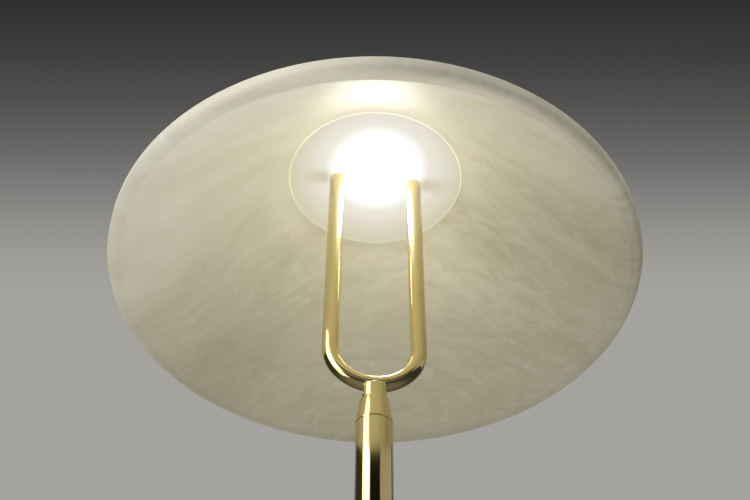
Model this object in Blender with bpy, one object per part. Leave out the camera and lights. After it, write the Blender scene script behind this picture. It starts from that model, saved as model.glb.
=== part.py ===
"""Floor lamp: an alabaster cone carried by a bent brass fork on a brass stem and a weighted round base.

The origin is on the floor, under the centre of the base. The prongs of the fork stand in the XZ plane,
the mains inlet faces +Y and the foot button is on the -Y side.
"""

import math

import bmesh
import bpy
from mathutils import Vector

mm = 0.001

# ---- Driving dimensions -------------------------------------------------------------------------

gap = 0.3 * mm  # between pieces that touch, slide or screw together

# stem
stem_top = 1360 * mm  # height of the seam under the neck
stem_radius = 17 * mm
stem_wall = 2 * mm
stem_joint = 690 * mm  # height of the joint between the two stem tubes
spigot_length = 34 * mm  # what reaches into a stem tube at each joint

# fork
tube_radius = 8 * mm
tube_wall = 1.5 * mm
prong_spacing = 84 * mm  # centre to centre
prong_straight = 242.5 * mm  # straight length above the bend
fork_rise = 46 * mm  # centre line of the bend's lowest point above the seam
stud_tail = 22 * mm  # length of each prong stud inside its tube

# neck
neck_height = 41.5 * mm
neck_land = 1.2 * mm  # straight edge over the seam
neck_cheek = 5.3 * mm  # brass left each side of the cross slot
slot_depth = 15 * mm
nut_room = 12 * mm  # depth of the neck's hollow above the seam

# shade and diffuser
rim_radius = 264 * mm  # outside of the rim's upright face
rim_height = 17.5 * mm  # from the rim's underside to the top of that face
rim_round = 8 * mm  # rounding under the rim, which runs into the cone's inside
rim_top_round = 2.5 * mm
cone_angle = math.radians(46.1)
shade_top_wall = 18 * mm  # level width of the stone at its top
diffuser_radius = 94.8 * mm
diffuser_thickness = 4 * mm
seat_thickness = 3 * mm  # soft ring between the light tray and the stone

# base
base_radius = 180 * mm
base_height = 28 * mm
base_edge = 1.6 * mm  # rounding of the cover's top edge
cover_wall = 2 * mm
plate_thickness = 1 * mm
pad_thickness = 3 * mm
pad_width = 18 * mm
flange_radius = 32 * mm  # of the spigot that carries the stem
flange_thickness = 4 * mm
flange_screw_circle = 25 * mm
flange_recess = 7.6 * mm  # depth of its seat in the weight
grub_rise = 24 * mm  # of the stem's grub screw above the base
channel_width = 12 * mm  # of the groove under the weight, for the leads
channel_height = 9 * mm
inlet_depth = 16 * mm  # length of the inlet bush inside the cover

# bought-in pieces
stud_radius = 5 * mm  # M10 hollow threaded studs
stud_bore = 3 * mm
nut_radius = 8.4 * mm  # across corners, halved
nut_height = 6 * mm
cable_radius = 2.5 * mm
lead_radius = 1.1 * mm
driver_size = Vector((96, 38, 16)) * mm
button_radius = 14 * mm
button_rise = 5 * mm  # of the foot button above the base
button_travel = 3 * mm
button_flange = 3 * mm  # what its retaining flange stands out
switch_radius = 7 * mm
switch_height = 6 * mm
plunger_rise = 2.4 * mm
emitter_radius = 11 * mm
emitter_thickness = 1.8 * mm
board_thickness = 1.6 * mm
sink_height = 18 * mm
fin_pitch = 4.6 * mm
fin_gap = 2.8 * mm
fin_depth = 13.5 * mm
terminal_size = Vector((16, 9, 7)) * mm
cap_wall = 1.5 * mm
cap_edge = 4 * mm  # rounding of the top cap
cap_stud_radius = 3 * mm
finial_radius = 9 * mm
finial_height = 12 * mm
washer_thickness = 1.2 * mm

# ---- Sizes that follow --------------------------------------------------------------------------

half_spacing = prong_spacing / 2
tube_bore = tube_radius - tube_wall
bend_centre = stem_top + fork_rise + half_spacing
tip_height = bend_centre + prong_straight
stem_bore = stem_radius - stem_wall
spigot_radius = stem_bore - gap
slope = math.tan(cone_angle)

diffuser_bottom = tip_height + gap
diffuser_top = diffuser_bottom + diffuser_thickness
edge_gap = 0.8 * mm  # between the diffuser's bevelled edge and the stone
lip_radius = rim_radius - rim_round * (1 + math.sin(cone_angle))  # where the rounding meets the cone
lip_height = diffuser_bottom - (lip_radius - diffuser_radius - edge_gap) * slope
rim_bottom = lip_height - rim_round * (1 - math.cos(cone_angle))

base_top = base_height
cover_under = base_height - cover_wall
weight_bottom = pad_thickness + gap
weight_top = cover_under - gap
inner_base_radius = base_radius - cover_wall - gap
plate_top = weight_bottom - gap
plate_bottom = plate_top - plate_thickness
driver_y = 79 * mm
button_y = -0.68 * base_radius


def stone_inside(z):
    """Radius of the cone's inner face at height z."""
    return lip_radius - (z - lip_height) / slope


# ---- Materials ----------------------------------------------------------------------------------


def material(name, colour, roughness, metallic=0.0):
    made = bpy.data.materials.new(name)
    made.use_nodes = True
    shader = made.node_tree.nodes["Principled BSDF"]
    shader.inputs["Base Color"].default_value = (*colour, 1)
    shader.inputs["Roughness"].default_value = roughness
    shader.inputs["Metallic"].default_value = metallic
    return made


# ---- Modelling helpers --------------------------------------------------------------------------


def finish(name, bm, finish_material, place=(0, 0, 0)):
    """The bmesh as an object, its faces pointing out and its round faces smooth."""
    bmesh.ops.remove_doubles(bm, verts=bm.verts, dist=1e-6)
    bmesh.ops.recalc_face_normals(bm, faces=bm.faces)
    mesh = bpy.data.meshes.new(name)
    bm.to_mesh(mesh)
    bm.free()
    mesh.shade_smooth()
    mesh.set_sharp_from_angle(angle=math.radians(35))
    mesh.materials.append(finish_material)
    made = bpy.data.objects.new(name, mesh)
    made.location = place
    bpy.context.scene.collection.objects.link(made)
    return made


def arc(centre, radius, start, end, steps):
    """Outline points round a centre, from start to end in degrees counted from straight out."""
    turns = [math.radians(start + (end - start) * k / steps) for k in range(steps + 1)]
    return [(centre[0] + radius * math.cos(t), centre[1] + radius * math.sin(t)) for t in turns]


def turned(name, profile, finish_material, steps=48, place=(0, 0, 0)):
    """A turned piece from its (radius, height) outline, which may start and end on the axis."""
    bm = bmesh.new()
    verts = [bm.verts.new((r, 0, z)) for r, z in profile]
    ends = list(zip(verts, verts[1:]))
    if profile[0][0] or profile[-1][0]:
        ends.append((verts[-1], verts[0]))
    edges = [bm.edges.new(pair) for pair in ends]
    whole = dict(axis=(0, 0, 1), cent=(0, 0, 0), angle=math.tau, steps=steps, use_merge=True)
    bmesh.ops.spin(bm, geom=verts + edges, **whole)
    return finish(name, bm, finish_material, place)


def rod(name, radius, bottom, top, finish_material, steps=24, place=(0, 0)):
    outline = [(0, bottom), (radius, bottom), (radius, top), (0, top)]
    return turned(name, outline, finish_material, steps, (*place, 0))


def pipe(name, outer, inner, bottom, top, finish_material, steps=36, place=(0, 0)):
    outline = [(inner, bottom), (outer, bottom), (outer, top), (inner, top)]
    return turned(name, outline, finish_material, steps, (*place, 0))


def block(name, size, centre, finish_material, bevel=0.0):
    bm = bmesh.new()
    bmesh.ops.create_cube(bm, size=1)
    bmesh.ops.scale(bm, vec=size, verts=bm.verts)
    if bevel:
        bmesh.ops.bevel(bm, geom=bm.edges[:], offset=bevel, segments=2, profile=0.5, affect="EDGES")
    return finish(name, bm, finish_material, centre)


def cut(target, cutter):
    """Takes the cutter out of the target. The cutter stays as a hidden helper."""
    boolean = target.modifiers.new(cutter.name, "BOOLEAN")
    boolean.operation = "DIFFERENCE"
    boolean.solver = "EXACT"
    boolean.object = cutter
    cutter.hide_render = True
    cutter.display_type = "WIRE"


def drill(target, radius, bottom, top, place=(0, 0), steps=24):
    cut(target, rod(target.name + "_drill", radius, bottom, top, None, steps, place))


def mill(target, size, centre):
    cut(target, block(target.name + "_mill", size, centre, None))


def cross_rod(name, radius, start, length, direction, finish_material, steps=20):
    """A level rod from start along direction, which is a unit vector."""
    made = rod(name, radius, 0, length, finish_material, steps)
    made.rotation_euler = Vector(direction).to_track_quat("Z", "Y").to_euler()
    made.location = start
    return made


def hex_nut(name, bottom, finish_material, place=(0, 0)):
    bm = bmesh.new()
    size = dict(radius1=nut_radius, radius2=nut_radius, depth=nut_height)
    bmesh.ops.create_cone(bm, cap_ends=True, segments=6, **size)
    made = finish(name, bm, finish_material, (*place, bottom + nut_height / 2))
    drill(made, stud_radius + gap, bottom - nut_height, bottom + 2 * nut_height, place)
    return made


def screw(name, shank, head_height, shank_length, finish_material, place, upside_down=False):
    """A pan-head screw. Its head's seat is at place, and the shank runs down, or up if upside_down."""
    head = 1.8 * shank
    outline = [(0, -shank_length), (shank, -shank_length), (shank, 0), (head, 0)]
    outline += [(head, 0.6 * head_height), (0.7 * head, head_height), (0, head_height)]
    made = turned(name, outline, finish_material, 12, place)
    if upside_down:
        made.rotation_euler = (math.pi, 0, 0)
    return made


def wire(name, points, radius, finish_material, sides=2):
    """A round wire through the points."""
    curve = bpy.data.curves.new(name, "CURVE")
    curve.dimensions = "3D"
    curve.bevel_depth = radius
    curve.bevel_resolution = sides
    curve.use_fill_caps = True
    line = curve.splines.new("POLY")
    line.points.add(len(points) - 1)
    for spot, point in zip(line.points, points):
        spot.co = (*point, 1)
    curve.materials.append(finish_material)
    made = bpy.data.objects.new(name, curve)
    bpy.context.scene.collection.objects.link(made)
    return made


def smooth_route(corners, per_span=6):
    """Points along a smooth curve through the corners."""
    padded = [2 * corners[0] - corners[1], *corners, 2 * corners[-1] - corners[-2]]
    route = []
    for p0, p1, p2, p3 in zip(padded, padded[1:], padded[2:], padded[3:]):
        for k in range(per_span):
            t = k / per_span
            bend = (2 * p0 - 5 * p1 + 4 * p2 - p3) * t * t + (3 * p1 - p0 - 3 * p2 + p3) * t**3
            route.append(0.5 * (2 * p1 + (p2 - p0) * t + bend))
    return route + [corners[-1]]


# ---- Base ---------------------------------------------------------------------------------------

recess_floor = weight_top - flange_recess
flange_top = recess_floor + gap + flange_thickness
stem_bottom = flange_top + gap
switch_bottom = plate_top + gap
plunger_top = switch_bottom + switch_height + plunger_rise
pocket_radius = button_radius + button_flange + 5 * gap
flange_drop = 2.5 * mm  # thickness of the foot button's retaining flange
grub_height = base_top + grub_rise
grub_radius = 2.5 * mm
grub_length = 6.2 * mm
cable_hole = 8 * mm
spigot_bore = 6 * mm
driver_room = 2 * mm  # free space on each side of the driver and of the inlet's rim
over = 10 * mm  # how far a cutter reaches past what it cuts
inlet_height = (weight_bottom + weight_top) / 2
inlet_body = 5.8 * mm
inlet_bore = 3.8 * mm
inlet_rim = 9 * mm
plate_screw = 2 * mm
flange_screw = 2.5 * mm


def make_base(brass, iron, steel, black, felt):
    inner = base_radius - cover_wall
    outline = [(inner, plate_bottom), (base_radius, plate_bottom)]
    outline += arc((base_radius - base_edge, base_top - base_edge), base_edge, 0, 90, 3)
    hole = stem_radius + gap
    outline += [(hole, base_top), (hole, cover_under), (inner, cover_under)]
    cover = turned("base_cover", outline, brass, 64)
    drill(cover, button_radius + gap, cover_under - over, base_top + over, (0, button_y), 32)
    start = (0, base_radius - cover_wall - over, inlet_height)
    length = cover_wall + 2 * over
    cut(cover, cross_rod("base_cover_inlet", inlet_body + gap, start, length, (0, 1, 0), None))

    pad_outer = inner_base_radius - 5 * mm
    pipe("base_pad", pad_outer, pad_outer - pad_width, 0, pad_thickness, felt, 48)
    weight = rod("base_weight", inner_base_radius, weight_bottom, weight_top, iron, 64)
    drill(weight, flange_radius + gap, recess_floor, base_top, steps=32)
    drill(weight, cable_hole, 0, base_top)
    low, high = -over, weight_top + over
    through = high - low
    room = Vector((driver_size.x + 2 * driver_room, driver_size.y + 2 * driver_room, through))
    mill(weight, room, (0, driver_y, (low + high) / 2))
    drill(weight, pocket_radius, low, high, (0, button_y), 28)
    channel_top = weight_bottom + channel_height
    channel_end = driver_y - 0.4 * driver_size.y
    channel = Vector((channel_width, channel_end - button_y, channel_top - low))
    mill(weight, channel, (0, (channel_end + button_y) / 2, (channel_top + low) / 2))
    inlet_room = Vector((2 * inlet_rim + 2 * driver_room, base_radius + over - driver_y, through))
    mill(weight, inlet_room, (0, (base_radius + over + driver_y) / 2, (low + high) / 2))

    plate_radius = pad_outer - pad_width - 3 * mm
    plate = rod("bottom_plate", plate_radius, plate_bottom, plate_top, steel, 48)
    for k in range(4):
        turn = math.radians(45 + 90 * k)
        spot = (0.82 * plate_radius * math.cos(turn), 0.82 * plate_radius * math.sin(turn))
        length = 9 * mm
        drill(plate, plate_screw + gap, -over, plate_top + over, spot, 16)
        drill(weight, plate_screw + gap, -over, plate_top + length, spot, 16)
        place = (*spot, plate_bottom - gap)
        screw(f"bottom_screw_{k + 1}", plate_screw, 1.2 * mm, length, steel, place, upside_down=True)

    spigot_top = grub_height + spigot_length / 2
    outline = [(spigot_bore, recess_floor + gap), (flange_radius, recess_floor + gap)]
    outline += [(flange_radius, flange_top), (spigot_radius, flange_top)]
    outline += [(spigot_radius, spigot_top), (spigot_bore, spigot_top)]
    spigot = turned("stem_spigot", outline, steel, 32)
    for k in range(3):
        turn = math.radians(120 * k)
        spot = (flange_screw_circle * math.cos(turn), flange_screw_circle * math.sin(turn))
        length = 10 * mm
        drill(spigot, flange_screw + gap, recess_floor - over, flange_top + over, spot, 16)
        drill(weight, flange_screw + gap, flange_top - length, recess_floor + over, spot, 16)
        place = (*spot, flange_top + gap)
        screw(f"spigot_screw_{k + 1}", flange_screw, 2.4 * mm, length, steel, place)
    start = (0, stem_radius - grub_length - gap, grub_height)
    cross_rod("stem_grub_screw", grub_radius, start, grub_length, (0, 1, 0), steel, 12)
    start = (0, start[1] - gap, grub_height)
    cut(spigot, cross_rod("spigot_tap", grub_radius + gap, start, grub_length + over, (0, 1, 0), None))

    centre = (0, driver_y, plate_top + gap + driver_size.z / 2)
    block("driver", driver_size, centre, black, 1.5 * mm)


def make_inlet(black):
    """The bush in the base's rim that a mains lead would pass through, and the nut that holds it."""
    proud = 3 * mm
    chamfer = 1 * mm
    outline = [(inlet_bore, -inlet_depth), (inlet_body, -inlet_depth), (inlet_body, gap), (inlet_rim, gap)]
    outline += [(inlet_rim, proud - chamfer), (inlet_rim - 1.5 * chamfer, proud)]
    outline += [(inlet_bore + 0.6 * chamfer, proud), (inlet_bore, proud - 0.8 * chamfer)]
    bush = turned("inlet_bush", outline, black, 20, (0, base_radius, inlet_height))
    nut_front = -cover_wall - 4 * gap
    nut_back = nut_front - 4 * mm
    outline = [(inlet_body + gap, nut_back), (inlet_rim, nut_back)]
    outline += [(inlet_rim, nut_front), (inlet_body + gap, nut_front)]
    nut = turned("inlet_nut", outline, black, 20, (0, base_radius, inlet_height))
    for piece in (bush, nut):
        piece.rotation_euler = (-math.pi / 2, 0, 0)


def make_foot_switch(brass, steel, black, lead_cover):
    top = base_top + button_rise
    flange_high = cover_under - gap
    flange_low = flange_high - flange_drop
    flange = button_radius + button_flange
    post_bottom = plunger_top + button_travel + gap
    post = 3 * mm
    chamfer = 1.2 * mm
    outline = [(0, post_bottom), (post, post_bottom), (post, flange_low), (flange, flange_low)]
    outline += [(flange, flange_high), (button_radius, flange_high)]
    outline += [(button_radius, top - chamfer), (button_radius - chamfer, top), (0, top)]
    turned("foot_button", outline, brass, 32, (0, button_y, 0))

    plunger = 2.2 * mm
    switch_top = switch_bottom + switch_height
    outline = [(0, switch_bottom), (switch_radius, switch_bottom), (switch_radius, switch_top)]
    outline += [(plunger, switch_top), (plunger, plunger_top), (0, plunger_top)]
    turned("foot_switch", outline, black, 24, (0, button_y, 0))

    wire_radius = 0.6 * mm
    coil = post + wire_radius + 2 * gap
    low = switch_top + wire_radius + gap
    high = flange_low - wire_radius - gap
    turns = 4
    steps = 10 * turns
    helix = []
    for k in range(steps + 1):
        turn = math.tau * turns * k / steps
        rise = low + (high - low) * k / steps
        helix.append(Vector((coil * math.cos(turn), button_y + coil * math.sin(turn), rise)))
    wire("foot_spring", helix, wire_radius, steel, 1)

    lead_x = -4.2 * mm  # beside the stem's cable
    start = Vector((lead_x, button_y + switch_radius + gap, switch_bottom + 2 * mm))
    end = Vector((lead_x, driver_y - driver_size.y / 2 - gap, start.z))
    dip = Vector((0, 0, -0.5 * mm))
    corners = [start, start.lerp(end, 0.25) + dip, start.lerp(end, 0.75) + dip, end]
    wire("switch_lead", smooth_route(corners, 4), lead_radius, lead_cover)


# ---- Stem ---------------------------------------------------------------------------------------


def make_stem(brass, lead_cover):
    reveal = 0.5 * mm  # half the height of the ring that shows between the tubes
    lower = pipe("stem_lower", stem_radius, stem_bore, stem_bottom, stem_joint - reveal - gap, brass)
    start = (0, stem_bore - stem_wall, grub_height)
    cut(lower, cross_rod("stem_lower_tap", grub_radius + gap, start, stem_wall + over, (0, 1, 0), None))
    pipe("stem_upper", stem_radius, stem_bore, stem_joint + reveal + gap, stem_top - gap, brass)

    ring = stem_radius - 0.8 * mm
    bore = cable_hole
    outline = [(bore, stem_joint - spigot_length), (spigot_radius, stem_joint - spigot_length)]
    outline += [(spigot_radius, stem_joint - reveal), (ring, stem_joint - reveal)]
    outline += [(ring, stem_joint + reveal), (spigot_radius, stem_joint + reveal)]
    outline.append((spigot_radius, stem_joint + spigot_length))
    outline += [(bore, stem_joint + spigot_length)]
    turned("stem_coupler", outline, brass, 36)

    low = switch_bottom + cable_radius + gap
    aside = 1.5 * mm  # beside the switch's lead
    first = Vector((aside, driver_y - driver_size.y / 2 - gap, low))
    corners = [first, Vector((aside, 36 * mm, low)), Vector((1 * mm, 17 * mm, low + 0.4 * mm))]
    corners.append(Vector((0, 4 * mm, low + 5 * mm)))
    corners += [Vector((0, 0, low + 20 * mm)), Vector((0, 0, low + 38 * mm))]
    end = Vector((0, 0, stem_top + fork_rise - cable_radius + gap))
    route = smooth_route(corners, 3)
    route += [corners[-1].lerp(end, k / 8) for k in range(1, 9)]
    wire("stem_cable", route, cable_radius, lead_cover)


# ---- Neck and fork ------------------------------------------------------------------------------

neck_top = stem_top + neck_height
slot_floor = neck_top - slot_depth
neck_top_radius = tube_radius + neck_cheek
neck_chamfer = 0.6 * mm
neck_bore = nut_radius + 1.6 * mm
slot_width = 2 * (tube_radius + gap)


def make_neck(brass, steel):
    outline = [(neck_bore, stem_top - spigot_length), (spigot_radius, stem_top - spigot_length)]
    outline += [(spigot_radius, stem_top), (stem_radius, stem_top), (stem_radius, stem_top + neck_land)]
    outline += [(neck_top_radius, slot_floor), (neck_top_radius, neck_top - neck_chamfer)]
    outline += [(neck_top_radius - neck_chamfer, neck_top), (stud_radius + gap, neck_top)]
    outline += [(stud_radius + gap, stem_top + nut_room), (neck_bore, stem_top + nut_room)]
    neck = turned("neck", outline, brass, 40)
    top = neck_top + over
    mill(neck, (4 * stem_radius, slot_width, top - slot_floor), (0, 0, (top + slot_floor) / 2))

    saddle_top = stem_top + fork_rise - 0.25 * tube_radius
    saddle_bottom = slot_floor + gap
    saddle_length = 1.36 * neck_top_radius
    saddle_size = Vector((saddle_length, slot_width - 2 * gap, saddle_top - saddle_bottom))
    saddle = block("fork_saddle", saddle_size, (0, 0, (saddle_top + saddle_bottom) / 2), brass)
    bed = bend_stations(4 * tube_radius / half_spacing, 8)
    cut(saddle, swept_tube("fork_saddle_bed", bed, tube_radius + gap, 0, 24, None))
    drill(saddle, stud_radius + gap, saddle_bottom - over, saddle_top + over)
    hex_nut("fork_nut", stem_top + nut_room - gap - nut_height, steel)


def bend_stations(half_turn, count):
    """Stations (place, direction) on the bend's centre line, half_turn either side of its lowest point."""
    stations = []
    for k in range(count + 1):
        turn = half_turn * (2 * k / count - 1)
        place = Vector((half_spacing * math.sin(turn), 0, bend_centre - half_spacing * math.cos(turn)))
        stations.append((place, Vector((math.cos(turn), 0, math.sin(turn)))))
    return stations


def swept_tube(name, stations, outer, inner, sides, finish_material):
    """A round tube through stations in the XZ plane. With no inner radius it is a solid rod."""
    bm = bmesh.new()
    across = Vector((0, 1, 0))
    skins = []
    for radius in filter(None, (outer, inner)):
        rings = []
        for place, along in stations:
            up = along.cross(across)
            turns = [math.tau * k / sides for k in range(sides)]
            spots = [place + radius * (math.cos(t) * across + math.sin(t) * up) for t in turns]
            rings.append([bm.verts.new(spot) for spot in spots])
        for one, two in zip(rings, rings[1:]):
            for k in range(sides):
                bm.faces.new((one[k - 1], one[k], two[k], two[k - 1]))
        skins.append(rings)
    for end in (0, -1):
        if inner:
            for k in range(sides):
                big, small = skins[0][end], skins[1][end]
                bm.faces.new((big[k - 1], big[k], small[k], small[k - 1]))
        else:
            bm.faces.new(skins[0][end])
    return finish(name, bm, finish_material)


def make_fork(brass, steel):
    stations = bend_stations(math.pi / 2, 16)
    left, right = stations[0][0], stations[-1][0]
    up = Vector((0, 0, 1))
    stations = [(left + up * prong_straight, -up), *stations, (right + up * prong_straight, up)]
    fork = swept_tube("fork_tube", stations, tube_radius, tube_bore, 24, brass)
    tube_under = stem_top + fork_rise - tube_radius
    drill(fork, stud_radius + gap, tube_under - over, stem_top + fork_rise)

    stud_bottom = stem_top + nut_room - nut_height - past_nut
    stud_top = tube_under + tube_wall + 2 * gap
    pipe("fork_stud", stud_radius, stud_bore, stud_bottom, stud_top, brass, 28)

    for side, x in (("left", -half_spacing), ("right", half_spacing)):
        body = tube_bore - gap
        foot = tip_height - stud_tail
        shoulder = tip_height - gap
        outline = [(stud_bore, foot), (body, foot), (body, shoulder), (stud_radius, shoulder)]
        outline += [(stud_radius, stud_end), (stud_bore, stud_end)]
        turned(f"prong_stud_{side}", outline, brass, 28, (x, 0, 0))
        low, high = diffuser_top + gap, tray_under - gap
        pipe(f"prong_sleeve_{side}", sleeve_radius, stud_radius + gap, low, high, steel, 24, (x, 0))
        hex_nut(f"prong_nut_{side}", tray_top + gap, steel, (x, 0))


def make_leads(lead_cover):
    """One wire up each prong, over the nut and into the terminal block."""
    for side, sign in (("left", -1), ("right", 1)):
        first = math.radians(4)
        turns = [first + (math.pi / 2 - first) * k / 10 for k in range(11)]
        spots = [Vector((math.sin(t), 0, -math.cos(t))) * half_spacing for t in turns]
        spots = [spot + Vector((0, 0, bend_centre)) for spot in spots]
        foot, head = spots[-1], Vector((half_spacing, 0, stud_end))
        spots += [foot.lerp(head, k / 3) for k in (1, 2, 3)]
        above = stud_end + 5 * mm
        corners = [head, Vector((half_spacing, 3 * mm, above))]
        corners += [Vector((0.86 * half_spacing, 0.45 * terminal_y, above + 1 * mm))]
        corners += [Vector((0.52 * half_spacing, 0.86 * terminal_y, (above + terminal_height) / 2))]
        corners += [Vector((terminal_size.x / 2 + 1 * mm, terminal_y, terminal_height))]
        spots += smooth_route(corners, 4)[1:]
        points = [Vector((sign * p.x, p.y, p.z)) for p in spots]
        wire(f"prong_lead_{side}", points, lead_radius, lead_cover)


# ---- Head ---------------------------------------------------------------------------------------

tray_wall = 1.5 * mm
tray_plate = 3 * mm
tray_bottom = diffuser_top + gap
seat_room = (seat_thickness + 2 * gap) / math.sin(cone_angle)  # level distance from the tray to the stone
tray_plate_radius = half_spacing + nut_radius + 6.5 * mm
tray_top = lip_height + (lip_radius - seat_room - tray_plate_radius) * slope
tray_under = tray_top - tray_plate
stone_top = tray_top + nut_height + gap
past_nut = 3 * mm  # what a stud stands out of its nut
stud_end = tray_top + gap + nut_height + past_nut
sleeve_radius = 7 * mm
sink_radius = half_spacing - nut_radius - 2.5 * mm
sink_bottom = tray_top + gap
sink_top = sink_bottom + sink_height
stud_seat = sink_top - 10 * mm  # bottom of the cap stud's hole in the heat sink
terminal_y = half_spacing + 2.4 * mm
terminal_height = tray_top + gap + terminal_size.z / 2
cap_under = sink_top + 3 * mm
cap_top = cap_under + 2 * mm
led_screw_radius = 1.5 * mm
lead_hole = 2.2 * mm


def make_light_engine(white, aluminium, opal, phosphor, steel, white_lead):
    low_edge = stone_inside(diffuser_bottom) - edge_gap
    high_edge = stone_inside(diffuser_top) - edge_gap
    outline = [(0, diffuser_bottom), (low_edge, diffuser_bottom)]
    outline += [(high_edge, diffuser_top), (0, diffuser_top)]
    diffuser = turned("diffuser", outline, opal, 64)
    for x in (-half_spacing, half_spacing):
        drill(diffuser, stud_radius + gap, diffuser_bottom - over, diffuser_top + over, (x, 0))

    outer_low = stone_inside(tray_bottom) - seat_room
    slant = tray_wall / math.sin(cone_angle)
    inner_top = tray_plate_radius + tray_plate / slope - slant
    outline = [(0, tray_under), (inner_top, tray_under), (outer_low - slant, tray_bottom)]
    outline += [(outer_low, tray_bottom), (tray_plate_radius, tray_top), (0, tray_top)]
    tray = turned("light_tray", outline, white, 48)
    for x in (-half_spacing, half_spacing):
        drill(tray, stud_radius + gap, tray_under - over, tray_top + over, (x, 0))
    lead_hole_y = (sink_radius + terminal_y - terminal_size.y / 2) / 2
    drill(tray, lead_hole, tray_under - over, tray_top + over, (0, lead_hole_y), 16)

    low, high = tray_bottom + 3 * mm, (tray_bottom + tray_top) / 2
    level_gap = gap / math.sin(cone_angle)
    inner = [(stone_inside(z) - seat_room + level_gap, z) for z in (low, high)]
    outer = [(stone_inside(z) - level_gap, z) for z in (low, high)]
    turned("shade_seat", [inner[0], outer[0], outer[1], inner[1]], white, 48)

    board_radius = sink_radius - 6 * mm
    board_top = tray_under - gap
    board_under = board_top - board_thickness
    emitter_top = board_under - gap
    board = rod("led_board", board_radius, board_under, board_top, white, 32)
    rod("led_emitter", emitter_radius, emitter_top - emitter_thickness, emitter_top, phosphor, 32)
    for k, x in enumerate((-0.72 * board_radius, 0.72 * board_radius)):
        length = 3.6 * mm
        drill(board, led_screw_radius + gap, board_under - over, board_top + over, (x, 0), 16)
        drill(tray, led_screw_radius + gap, tray_under - over, tray_top - 0.5 * mm, (x, 0), 16)
        place = (x, 0, board_under - gap)
        screw(f"led_screw_{k + 1}", led_screw_radius, 1.6 * mm, length, steel, place, upside_down=True)

    sink = rod("heat_sink", sink_radius, sink_bottom, sink_top, aluminium, 32)
    hub = 2 * cap_stud_radius
    for k in range(1 + int((sink_radius - hub - fin_gap) / fin_pitch)):
        for sign in (-1, 1):
            x = sign * (hub + k * fin_pitch)
            mill(sink, (fin_gap, 4 * sink_radius, 2 * fin_depth), (x, 0, sink_top))
    drill(sink, cap_stud_radius + gap, stud_seat, sink_top + over)

    block("terminal_block", terminal_size, (0, terminal_y, terminal_height), white, 0.8 * mm)
    edge = terminal_y - terminal_size.y / 2 - 0.8 * mm
    lead_height = board_under - lead_radius - 2 * gap
    corners = [Vector((0, edge, terminal_height)), Vector((0, lead_hole_y, tray_top + 2 * gap))]
    corners.append(Vector((0, lead_hole_y, tray_under - 2 * gap)))
    corners.append(Vector((0, board_radius + 2 * mm, lead_height)))
    corners.append(Vector((0, emitter_radius + 7 * mm, lead_height)))
    corners.append(Vector((0, emitter_radius + gap, lead_height)))
    wire("led_lead", smooth_route(corners, 4), lead_radius, white_lead)


def make_shade(stone):
    opening = stone_inside(stone_top)
    rim_top = rim_bottom + rim_height
    start = -90 - math.degrees(cone_angle)
    outline = arc((rim_radius - rim_round, rim_bottom + rim_round), rim_round, start, 0, 6)
    outline += arc((rim_radius - rim_top_round, rim_top - rim_top_round), rim_top_round, 0, 45, 2)
    outline += [(opening + shade_top_wall, stone_top), (opening, stone_top)]
    turned("shade", outline, stone, 72)


def make_cap(brass, steel):
    opening = stone_inside(stone_top)
    cap_radius = opening + 0.5 * shade_top_wall
    bottom = stone_top + gap
    outline = [(cap_radius - cap_wall, bottom), (cap_radius, bottom)]
    outline += arc((cap_radius - cap_edge, cap_top - cap_edge), cap_edge, 0, 90, 3)
    outline += [(cap_stud_radius + gap, cap_top), (cap_stud_radius + gap, cap_under)]
    outline += [(cap_radius - cap_edge, cap_under), (cap_radius - cap_wall, cap_under - cap_edge + cap_wall)]
    cap = turned("top_cap", outline, brass, 48)
    vent_size = (3 * cap_radius, 14 * mm, 3 * mm)
    vents = 4
    for k in range(vents):
        vent = block(f"cap_vent_{k}", vent_size, (0, 0, bottom + 8 * mm), None)
        vent.rotation_euler = (0, 0, math.pi * (k + 0.5) / vents)
        cut(cap, vent)

    bore = cap_stud_radius + gap
    washer_top = cap_top + gap + washer_thickness
    pipe("finial_washer", finial_radius + 2 * mm, bore, cap_top + gap, washer_top, brass, 40)
    chamfer = 1 * mm
    crown = 2.5 * mm
    low = washer_top + gap
    high = low + finial_height
    hollow = high - crown
    outline = [(bore, low), (finial_radius - chamfer, low), (finial_radius, low + chamfer)]
    outline += [(finial_radius, high - crown), (finial_radius - crown, high), (0, high)]
    outline += [(0, hollow), (bore, hollow)]
    rod("cap_stud", cap_stud_radius, stud_seat + gap, hollow - 4 * gap, steel, 20)
    turned("finial", outline, brass, 32)


# ---- The lamp -----------------------------------------------------------------------------------


def main():
    for old in list(bpy.data.objects):
        bpy.data.objects.remove(old)
    brass = material("polished_brass", (0.80, 0.62, 0.32), 0.12, 1.0)
    steel = material("zinc_plated_steel", (0.62, 0.62, 0.64), 0.35, 1.0)
    aluminium = material("cast_aluminium", (0.75, 0.76, 0.78), 0.4, 1.0)
    iron = material("painted_cast_iron", (0.05, 0.05, 0.05), 0.6)
    black = material("black_plastic", (0.03, 0.03, 0.03), 0.45)
    white = material("white_enamel", (0.85, 0.85, 0.83), 0.5)
    opal = material("opal_diffuser", (0.93, 0.92, 0.88), 0.4)
    phosphor = material("led_phosphor", (0.95, 0.80, 0.35), 0.4)
    felt = material("grey_felt", (0.12, 0.12, 0.12), 0.95)
    lead_cover = material("wire_insulation", (0.75, 0.74, 0.70), 0.5)
    stone = material("alabaster", (0.80, 0.75, 0.62), 0.35)
    make_base(brass, iron, steel, black, felt)
    make_inlet(black)
    make_foot_switch(brass, steel, black, lead_cover)
    make_stem(brass, lead_cover)
    make_neck(brass, steel)
    make_fork(brass, steel)
    make_leads(lead_cover)
    make_light_engine(white, aluminium, opal, phosphor, steel, lead_cover)
    make_shade(stone)
    make_cap(brass, steel)


main()
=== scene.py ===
import math

import bmesh
import bpy
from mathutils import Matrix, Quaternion, Vector


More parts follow.
